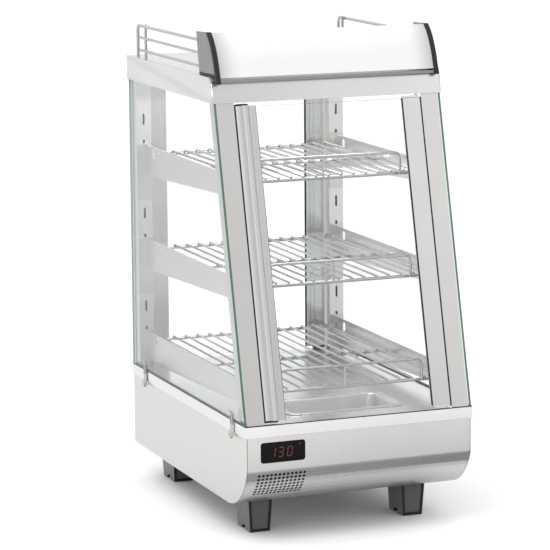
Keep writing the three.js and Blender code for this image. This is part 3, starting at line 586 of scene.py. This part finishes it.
ROD, WIRE, GUARD = 2.5, 1.75, 2.0  # radii
WIRES = 15
WIRE_IN = 15.2  # outermost wire inside a rod's end
GUARD_IN = 41.0  # front guard's end inside a rod's end
GUARD_POST = -9.7
RAIL_RADIUS = 2.5
RAIL_HEIGHT = 47
RAIL_BARS = (29, 10)  # heights of the two lower bars
wire_jobs = 0
for level in LEVELS:
    low, high = box_mm(f"shelf_{level}")
    rod_z, guard_top = low.z + ROD, high.z - GUARD * 0.87
    guard_y = low.y + GUARD
    front, back = guard_y + 3.3, high.y - ROD * 0.87
    rods = [([(low.x, y, rod_z), (high.x, y, rod_z)], ROD)
            for y in (front, (front + back) / 2, back)]
    wire_z = rod_z + ROD + WIRE - 0.6
    for k in range(WIRES):
        x = (k - WIRES // 2) * (high.x - WIRE_IN) / (WIRES // 2)
        rods.append(([(x, front - 1.5, wire_z), (x, back + 1.5, wire_z)], WIRE))
    half = high.x - GUARD_IN
    loop = [(-half, guard_y, rod_z - 1), (-half, guard_y, guard_top),
            (half, guard_y, guard_top), (half, guard_y, rod_z - 1)]
    rods.append((bent(loop, 10), GUARD))
    rods.append(([(GUARD_POST, guard_y, rod_z - 1), (GUARD_POST, guard_y, guard_top)], GUARD * 0.8))
    wire_piece(f"shelf_{level}_wires", f"shelf_{level}", rods, bright_wire)
    wire_jobs += 1

for side, sign in SIGNED_SIDES:
    low, high = box_mm(f"rail_{side}")
    rail_x = sign * (max(abs(low.x), abs(high.x)) - RAIL_RADIUS)
    foot_z, top_z = low.z, low.z - 0.3 + RAIL_HEIGHT
    front, back = low.y + RAIL_RADIUS, high.y - RAIL_RADIUS
    loop = [(rail_x, front, foot_z), (rail_x, front, top_z),
            (rail_x, back, top_z), (rail_x, back, foot_z)]
    bars = [(bent(loop, 8), RAIL_RADIUS)]
    for lift in RAIL_BARS:
        z = foot_z - 0.3 + lift
        bars.append(([(rail_x, front + 11, z), (rail_x, back - 11, z)], 2.25))
    for y in (front + 20, back - 25):
        inner = rail_x - sign * 3.8
        bars.append(([(inner, y, foot_z), (inner, y, top_z + 2.6)], 2.2))
    wire_piece(f"rail_{side}_bars", f"rail_{side}", bars, bright_wire)
    wire_jobs += 1

low, high = box_mm("heating_element")
half, z = high.x - 4, (low.z + high.z) / 2
coil = [(-half, high.y, z), (-half, low.y + 4, z), (half, low.y + 4, z), (half, high.y, z)]
wire_piece("heater_tube", "heating_element", [(bent(coil, 26, 10), 4)], hot_sheath)
print("wire pieces:", wire_jobs + 1)

# %% [markdown]
# ## The water pan
# The pan is pressed from one sheet: a rolled bead round the rim, a flat flange, then walls that lean inwards so
# the tool lets go. Each step of that section is one rounded rectangle, smaller and lower than the last. The
# rectangles are bridged in turn, the last is closed as the floor, and the skin is then given its thickness.

# %% Water pan
def rounded_loop(bm, centre, width, depth, radius, steps=6):
    """The edges of a rectangle with rounded corners, in millimetres."""
    known = set(bm.edges)
    x, y, z = centre
    corners = [bm.verts.new(Vector((x + a * width / 2, y + b * depth / 2, z)) * MM)
               for a, b in ((-1, -1), (1, -1), (1, 1), (-1, 1))]
    bm.faces.new(corners)
    bmesh.ops.bevel(bm, geom=corners, offset=radius * MM, offset_type="OFFSET", affect="VERTICES",
                    segments=steps, profile=0.5, material=-1)
    made = [e for e in bm.edges if e not in known]
    plates = {face for edge in made for face in edge.link_faces}
    bmesh.ops.delete(bm, geom=list(plates), context="FACES_ONLY")
    return made


low, high = box_mm("water_pan")
middle = (low + high) / 2
# Each ring of the section: how far it lies inside the outer edge, and how far below the top.
RIM_TO_FLOOR = [(0.5, 1.6), (0.0, 1.0), (0.4, 0.3), (1.3, 0.0), (2.2, 0.3), (2.7, 0.9), (9.6, 1.1),
                (10.9, 1.5), (11.9, 2.9), (14.6, 35.0), (16.2, 37.8), (20.0, 39.0)]
PAN_CORNER = 16
PAN_SHEET = 0.9
bm = bmesh.new()
last = None
for inset, drop in RIM_TO_FLOOR:
    loop = rounded_loop(bm, (middle.x, middle.y, high.z - drop), high.x - low.x - 2 * inset,
                        high.y - low.y - 2 * inset, PAN_CORNER - 0.35 * inset)
    if last:
        bmesh.ops.bridge_loops(bm, edges=last + loop)
    last = loop
bmesh.ops.contextual_create(bm, geom=last)
bmesh.ops.recalc_face_normals(bm, faces=bm.faces)
if max(bm.faces, key=lambda f: f.calc_area()).normal.z < 0:
    bmesh.ops.reverse_faces(bm, faces=bm.faces)
bmesh.ops.solidify(bm, geom=bm.faces[:], thickness=PAN_SHEET * MM)
pan = piece("water_pan_pressed", mesh_from(bm, "water_pan"), lit_pan_steel, "water_pan", smooth=50)
print("water pan:", [round(v / MM, 1) for v in pan.dimensions])

# %% [markdown]
# ## The doors
# Each door is a pane between two extrusions. The handle's face is a shallow arch with a groove beside it, then a
# flat strip that grips the glass through a black rubber bead. The section is drawn once and pushed along z, in
# the door's own axes, and then turned into the leaning front or the upright back.

# %% Door extrusions
front_foot = Vector((0, FRONT_SET - MIDDLE, DECK)) * MM
rear_foot = Vector((0, BACK_FACE - MIDDLE, DECK)) * MM
door_place = {
    "front_door": Matrix.Translation(front_foot) @ Matrix.Rotation(-LEAN, 4, "X"),
    "rear_door": Matrix.Translation(rear_foot) @ Matrix.Rotation(math.pi, 4, "Z"),
}
door_edge = {
    "front_door": box_mm("front_door_stile")[1].x,
    "rear_door": -box_mm("rear_door_stile")[0].x,
}
door_ends = {"front_door": (2.05, 455.2), "rear_door": (1.0, 442.0)}


def prism(outline, low, high, axis="z"):
    """An outline pushed along an axis: (x, y) along z, (y, z) along x, or (x, z) along y.

    Every length is in millimetres.
    """
    lay = {"z": lambda u, v: (u, v, low),
           "x": lambda u, v: (low, u, v),
           "y": lambda u, v: (u, low, v)}[axis]
    push = {"z": (0, 0, high - low), "x": (high - low, 0, 0), "y": (0, high - low, 0)}[axis]
    bm = bmesh.new()
    face = bm.faces.new([bm.verts.new(Vector(lay(u, v)) * MM) for u, v in outline])
    grown = bmesh.ops.extrude_face_region(bm, geom=[face])["geom"]
    moved = [g for g in grown if isinstance(g, bmesh.types.BMVert)]
    bmesh.ops.translate(bm, verts=moved, vec=Vector(push) * MM)
    bmesh.ops.recalc_face_normals(bm, faces=bm.faces)
    return bm


HANDLE_W, GRIP_W, PROUD = 30.0, 19.0, 4.2
STILE_W = 27
END_CAP = 3.3  # an end cap's share of the extrusion's length
for door in DOORS:
    edge, (foot, head) = door_edge[door], door_ends[door]
    left = -edge
    arch = [(left + GRIP_W * k / 16, -0.5 - (PROUD - 0.5) * math.sin(math.pi * k / 16) ** 0.8)
            for k in range(17)]
    grip, inner = left + GRIP_W, left + HANDLE_W
    section = [(left, 8), *arch, (grip, 1.4), (grip + 0.9, 1.4), (grip + 0.9, 0), (inner - 4.5, 0),
               (inner - 4.3, 0.3), (inner - 4.0, 0), (inner, 0), (inner, 1.7), (inner - 10, 1.7),
               (inner - 10, 6.3), (inner, 6.3), (inner, 8), (inner - 5, 8), (inner - 5.4, 7.2), (inner - 5.8, 8),
               (grip + 3, 8), (grip + 2.6, 6.9), (grip - 1, 6.9), (grip - 1.4, 8), (left + 5, 8),
               (left + 4.6, 7.2), (left + 4.2, 8)]
    bm = prism(section, foot + END_CAP, head - END_CAP)
    bm.transform(door_place[door])
    piece(f"{door}_handle_profile", mesh_from(bm, door), satin_alloy, f"{door}_handle", smooth=25)
    softened(f"{door}_stile", satin_alloy, 0.3)
    softened(f"{door}_glass", front_pane if door == "front_door" else rear_pane, 0.2, 1)
    for part in ("cap_top", "cap_bottom"):
        softened(f"{door}_{part}", black_abs, 0.4)
    for part in ("hinge_top", "hinge_bottom"):
        softened(f"{door}_{part}", stainless_x, 0.4)
    stile = edge - STILE_W
    for mark, x in (("handle", inner + 0.1), ("hinge", stile - 1.0)):
        bm = prism([(x, 0.6), (x + 0.9, 0.6), (x + 0.9, 1.8), (x, 1.8)],
                   foot + END_CAP, head - END_CAP)
        soften(bm, 0.2)
        bm.transform(door_place[door])
        piece(f"{door}_bead_{mark}", mesh_from(bm, door), dark_rubber, f"{door}_glass", keeps=True)
for side, near, far in (("left", -144.5, -143.2), ("right", 144.3, 144.55)):
    bm = prism([(near, 0.6), (far, 0.6), (far, 7.5), (near, 7.5)], 3, 452)
    bm.transform(door_place["front_door"])
    piece(f"pillar_bead_{side}", mesh_from(bm, side), dark_rubber, f"front_pillar_{side}", keeps=True)
print("door profiles:", [round(v, 1) for v in door_edge.values()])

# %% [markdown]
# ## Seals
# The side panes stand in U-shaped rubber, and a thin bead closes the gap along the deck's front edge. They read
# as the fine dark lines between the glass and the steel.

# %% Seals
for side, sign in SIGNED_SIDES:
    channel = [(170.9, 177.05), (175.7, 177.05), (175.7, 178.3), (175.25, 178.3), (175.25, 177.25),
               (171.15, 177.25), (171.15, 178.3), (170.9, 178.3)]
    bm = prism([(sign * x, z) for x, z in channel], 5 - MIDDLE, 487 - MIDDLE, "y")
    piece(f"glass_channel_{side}", mesh_from(bm, side), dark_rubber, f"side_glass_{side}", keeps=True)
bm = prism([(0.3 - MIDDLE, 177.05), (1.9 - MIDDLE, 177.05),
            (1.9 - MIDDLE, 178.1), (0.3 - MIDDLE, 178.1)], -174.5, 174.5, "x")
soften(bm, 0.3)
piece("deck_bead", mesh_from(bm, "deck_bead"), dark_rubber, "deck_tray", keeps=True)
print("seals ready")

# %% [markdown]
# ## Canopy ends
# Each end is a grey faced plate inside a black moulded rim, which is thick along the curved front edge and thin
# along the foot.

# %% Canopy ends
edge_y, edge_z = FRONT_SET - MIDDLE + LEAN_RUN * (CAP_TOP - DECK), CAP_TOP
CURVE = [(-14.8, -8.5), (-11.7, 0.6), (-9.8, 5), (-5.3, 18.5),
         (0.2, 31), (6.7, 42.5), (14.7, 53), (24.2, 62)]
for side, sign in SIGNED_SIDES:
    softened(f"canopy_end_{side}", grey_abs, 0.5)
    outer = [(y - 0.5, h) for y, h in CURVE]
    inner = [(y + 5.4, h - 0.6) for y, h in CURVE[2:]][::-1]
    rim = [*outer, *inner, (57.5, 3.2), (57.2, 0.6), (-5.9, 0.6), (-5.9, -8.7)]
    low_x, high_x = sorted((sign * 164.9, sign * 171.6))
    bm = prism([(edge_y + y, edge_z + h) for y, h in rim], low_x, high_x, "x")
    soften(bm, 0.5, least=40)
    piece(f"canopy_rim_{side}", mesh_from(bm, side), black_abs, f"canopy_end_{side}", keeps=True)
print("canopy ends ready")

# %% [markdown]
# ## Feet
# A foot is a tapered cup with a notch through its pad, and its front face is a sunk panel. The side outline with
# the notch is pushed across, then the bottom is squeezed narrower, as the mould's draft makes it. The sunk panel
# is paler than the frame, and the two flanks carry painted light, a paler grey, so a foot has three materials.

# %% Feet
FOOT_TALL = 51.7
FOOT_WIDE = 37.4  # at the top
FOOT_PAD = 31.0  # at the floor
for end in ENDS:
    for side in SIDES:
        low, high = box_mm(f"foot_{end}_{side}")
        centre = (low + high) / 2
        arch = [(7.5 * math.cos(a), 6.5 * math.sin(a)) for a in [math.pi * k / 8 for k in range(9)]]
        outline = [(-27.5, FOOT_TALL), (27.5, FOOT_TALL), (25, 0), *arch, (-25, 0)]
        bm = prism([(centre.y + y, z) for y, z in outline], low.x, high.x, "x")
        for vert in bm.verts:
            share = 1 - (1 - FOOT_PAD / FOOT_WIDE) * (1 - vert.co.z / MM / FOOT_TALL)
            vert.co.x = centre.x * MM + (vert.co.x - centre.x * MM) * share
        soften(bm, 1.1, 3, 40)
        faces = [f for f in bm.faces if abs(f.normal.y) > 0.9 and f.calc_area() > 600 * MM * MM]
        for frame_w, sunk in ((2.6, 0), (0.8, 1.2)):
            bmesh.ops.inset_individual(bm, faces=faces, thickness=frame_w * MM, depth=-sunk * MM,
                                       use_even_offset=True)
        mesh = mesh_from(bm, "foot")
        thing = piece(f"foot_{end}_{side}_moulded", mesh, black_abs, f"foot_{end}_{side}")
        mesh.materials.append(foot_face)
        mesh.materials.append(lit_foot_flank)
        for face in mesh.polygons:
            inside = abs(face.center.x / MM - centre.x) < 3 and 15 < face.center.z / MM < 40
            if inside and abs(face.normal.y) > 0.9:
                face.material_index = 1
            # Painted light: both flanks take the paler grey.
            elif abs(face.normal.x) > 0.95:
                face.material_index = 2
print("feet ready")

# %% [markdown]
# ## The display
# Three seven-segment numerals glow dull red behind the smoked window. Each lit segment is a small six-sided bar,
# leaned a little like the real ones.

# %% Numerals
led_red, tree = new_material("red LED behind smoked acrylic")
place = add(tree, "ShaderNodeTexCoord")
speck = add(tree, "ShaderNodeTexNoise", {"Vector": place.outputs["Object"], "Scale": 1 / (1.5 * MM)})
tint = add(tree, "ShaderNodeMix", {0: speck.outputs["Fac"], 6: srgb("#5c262b"), 7: srgb("#753037")},
           data_type="RGBA")
shader = add(tree, "ShaderNodeBsdfPrincipled",
             {"Base Color": tint.outputs[2], "Roughness": 0.3, "Emission Color": srgb("#a8303a"),
              "Emission Strength": 0.07})
add(tree, "ShaderNodeOutputMaterial", {"Surface": shader.outputs[0]})

SEGMENTS = {"a": (0, 1, 0), "g": (0, 0, 0), "d": (0, -1, 0), "f": (-1, 0.5, 1), "b": (1, 0.5, 1),
            "e": (-1, -0.5, 1), "c": (1, -0.5, 1)}
LIT = {"1": "bc", "3": "abgcd", "0": "abcdef"}
NUMERAL_W, NUMERAL_H, BAR = 6.6, 13.4, 1.5
low, high = box_mm("display_window")
window_z = (low.z + high.z) / 2
numerals = bmesh.new()
for figure, from_left in (("1", 18.0), ("3", 30.0), ("0", 43.5)):
    for name in LIT[figure]:
        across, up, upright = SEGMENTS[name]
        half = (NUMERAL_H / 2 if upright else NUMERAL_W) / 2 - 0.35
        bar = [(-half, 0), (-half + BAR / 2, BAR / 2), (half - BAR / 2, BAR / 2), (half, 0),
               (half - BAR / 2, -BAR / 2), (-half + BAR / 2, -BAR / 2)]
        middle_x, middle_z = across * NUMERAL_W / 2, up * NUMERAL_H / 2
        shape = [(middle_x + (v if upright else u), middle_z + (u if upright else v)) for u, v in bar]
        leaned = [(low.x + from_left + x + 0.12 * z, window_z + z) for x, z in shape]
        one = prism(leaned, low.y - 0.12, low.y + 0.2, "y")
        mesh = bpy.data.meshes.new("bar")
        one.to_mesh(mesh)
        one.free()
        numerals.from_mesh(mesh)
piece("display_numerals", mesh_from(numerals, "numerals"), led_red, "display_window", keeps=True)
ring = [(low.x + 59 + 1.1 * math.cos(a), low.y - 0.05, window_z + 9 + 1.1 * math.sin(a))
        for a in [2 * math.pi * k / 12 for k in range(13)]]
wire_piece("degree_ring", "display_window", [(ring, 0.22)], foot_face, keeps=True)
print("numerals:", list(LIT))

# %% [markdown]
# ## Painted shade behind the vents
# Behind the round vent holes lies a black sheet of painted shade, so they read as dark. It follows the front
# sheet's bend, so it starts as a run of points on the same Bezier curve, moved in, and is pushed along x.

# %% Painted shade behind the vents
TUCK = 1.6  # front sheet behind the deck's front edge
BEND = [Vector((0 - MIDDLE + TUCK, BASE_UNDER + 61)), Vector((0 - MIDDLE + TUCK, BASE_UNDER + 45)),
        Vector((32 - MIDDLE, BASE_UNDER)), Vector((78 - MIDDLE, BASE_UNDER))]
# Painted shade: the two depths of the black sheet's faces, inside that curve.
SHADE_SHEET_NEAR, SHADE_SHEET_FAR = 2.0, 2.8  # the guard's two faces, inside that curve
run = interpolate_bezier(*[Vector((p.x, p.y, 0)) for p in BEND], 13)
offsets = []
for before, here, after in zip([run[0], *run], run, [*run[1:], run[-1]]):
    along = (after - before).normalized()
    offsets.append((here, Vector((-along.y, along.x, 0))))
near = [(here + inward * SHADE_SHEET_NEAR).xy for here, inward in offsets[:-1]]
far = [(here + inward * SHADE_SHEET_FAR).xy for here, inward in offsets[:-1]]
bm = prism([tuple(p) for p in near + far[::-1]], -158, -80, "x")
# The black sheet is painted shade, set where the inside of the base is only shade.
vent_shade = piece("vent_shade_sheet", mesh_from(bm, "vent_shade_sheet"), black_abs, "base_front", keeps=True)
print("vent shade sheet:", [round(v / MM, 1) for v in vent_shade.dimensions])

# %% [markdown]
# ## Clips
# A spring-steel clip hooks over each pane's lower corner. It has a flat leaf, a rolled knuckle, a small lever
# with a curled tip and a wire link. All are polished but the curl, which is darker.

# %% Clips
CURL = [(178.2, 161), (180.3, 157), (179.9, 154.6), (178.4, 154.2), (177.6, 155.8), (178.6, 156.9),
        (177.5, 160.5)]
for end in ENDS:
    for side, sign in SIGNED_SIDES:
        node = f"clip_{end}_{side}"
        softened(node, bright_wire, 0.25)
        low, high = box_mm(node)
        y, face = (low.y + high.y) / 2, sign * 177.6
        link = [(face, y - 3, 172), (face, y - 3, 186), (face, y + 3, 186), (face, y + 3, 172)]
        wire_piece(f"{node}_link", node, [(bent(link, 2.5), 0.7)], bright_wire, keeps=True)
        bm = prism([(sign * x, z - 1.2) for x, z in CURL], y - 5.4, y - 2.2, "y")
        piece(f"{node}_curl", mesh_from(bm, node), hot_sheath, node, keeps=True, smooth=60)
print("clips ready")

# %% [markdown]
# ## Screws and rivets
# Small domed heads hold the panels and brackets. One head is a short cone with a rounded rim; many are
# gathered in one mesh for each place.

# %% Screw heads
HEAD_SIDES = 16


def heads(name, like, spots, facing, material, radius=2.2, height=1.1):
    """Domed heads at spots, in millimetres, that face a direction."""
    turn = Vector(facing).to_track_quat("Z", "Y").to_matrix().to_4x4()
    bm = bmesh.new()
    for spot in spots:
        where = Matrix.Translation(Vector(spot) * MM) @ turn
        bmesh.ops.create_cone(bm, cap_ends=True, segments=HEAD_SIDES, radius1=radius * MM,
                              radius2=radius * 0.72 * MM, depth=height * MM, matrix=where)
    crowns = [f for f in bm.faces if len(f.verts) == HEAD_SIDES and f.normal.dot(Vector(facing)) > 0.9]
    bmesh.ops.inset_individual(bm, faces=crowns, thickness=radius * 0.4 * MM, depth=-0.35 * MM)
    piece(name, mesh_from(bm, name), material, like, keeps=True, smooth=50)


rear = box_mm("base_rear")
corners = [(x, rear[1].y + 0.4, z) for x in (-160, -20, 60, 160) for z in (64, 166)]
heads("rear_panel_screws", "base_rear", corners, (0, 1, 0), bright_wire)
bottom = [(x, y, 51.6) for x in (-160, 160) for y in (-140, 0, 140, 220)]
heads("floor_screws", "base_bottom", bottom, (0, 0, -1), bright_wire)
for level in LEVELS:
    for side, sign in SIGNED_SIDES:
        node = f"bracket_{level}_{side}"
        low, high = box_mm(node)
        inner, outer = sign * 155.0, sign * 157.0
        dimples = [(inner, low.y + along, high.z - drop)
                   for along, drop in ((28, 9), (70, 9), (28, 22), (150, 12))]
        heads(f"{node}_dimples", node, dimples, (-sign, 0, 0), stainless_y, 2.4, 0.8)
        heads(f"{node}_rivets", node, [(outer, y, high.z - 11) for y in (low.y + 50, high.y - 70)],
              (sign, 0, 0), stainless_y, 2.6, 0.9)
inlet = box_mm("power_inlet")
face_y = inlet[1].y + 0.3
heads("inlet_screws", "power_inlet", [(x, face_y, 115) for x in (inlet[0].x + 2.6, inlet[1].x - 2.6)],
      (0, 1, 0), bright_wire, 1.6, 0.8)
pins = bmesh.new()
for x, z, wide, tall in ((-112, 117.5, 2, 4), (-119, 112.5, 2, 4), (-105, 112.5, 2, 4)):
    stretch = Matrix.Diagonal((wide * MM, 15 * MM, tall * MM, 1))
    slab = Matrix.Translation(Vector((x, inlet[0].y + 13, z)) * MM) @ stretch
    bmesh.ops.create_cube(pins, size=1, matrix=slab)
soften(pins, 0.3)
piece("inlet_pins", mesh_from(pins, "pins"), bright_wire, "power_inlet", keeps=True)
print("screws, dimples and pins ready")

# %% [markdown]
# ## Size
# The box that the visible pieces fill is measured at the end.

# %% Measure the size
low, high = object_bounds()
